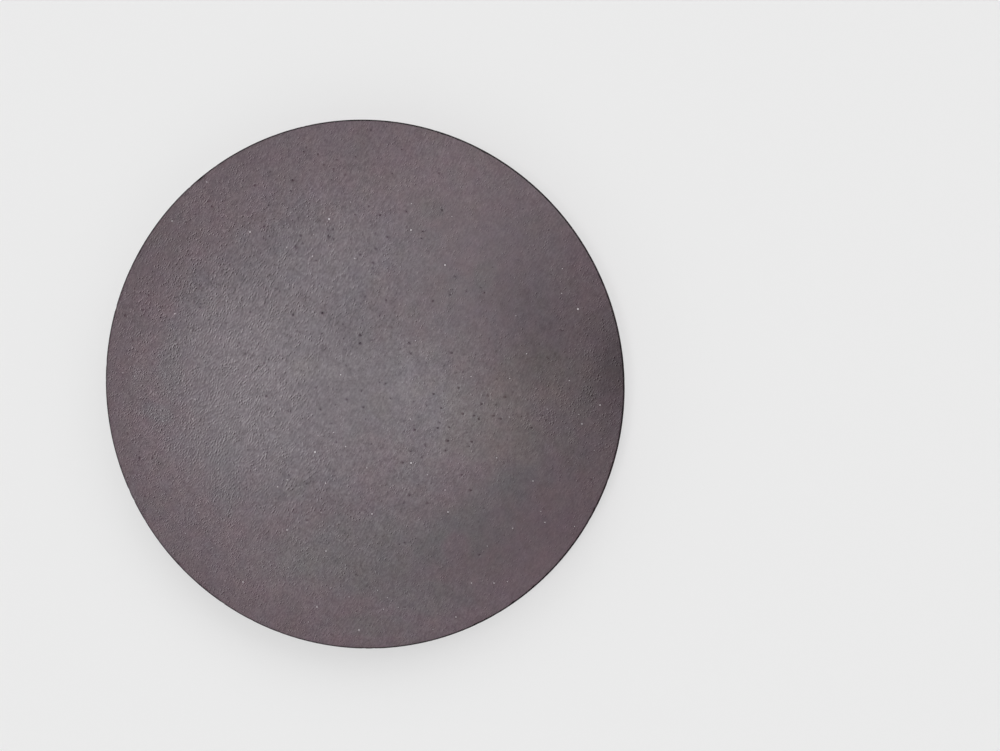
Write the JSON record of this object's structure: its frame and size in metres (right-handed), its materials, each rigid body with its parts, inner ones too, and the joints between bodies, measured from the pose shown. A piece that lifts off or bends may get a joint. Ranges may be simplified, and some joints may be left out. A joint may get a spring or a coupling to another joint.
{
  "type": "sputtering target",
  "caption": "Flat round ceramic sputtering target disc with ground faces and lightly chamfered edges, clamped or bonded to a cathode's cooling plate.",
  "frame": {"origin": "centre of the back face, which lies on the cooling plate or the table, at z = 0", "axes": "+Z along the disc's axis, out of the front (sputtered) face; the disc is round, so +X and +Y are free. +X points to the right in the picture's view and +Y up in it."},
  "size_m": [0.0508, 0.0508, 0.003],
  "materials": {
    "sintered_ceramic": "ground, matte with a dull sheen"
  },
  "bodies": {
    "root": {"target_disc": "sintered_ceramic"}
  },
  "joints": []
}
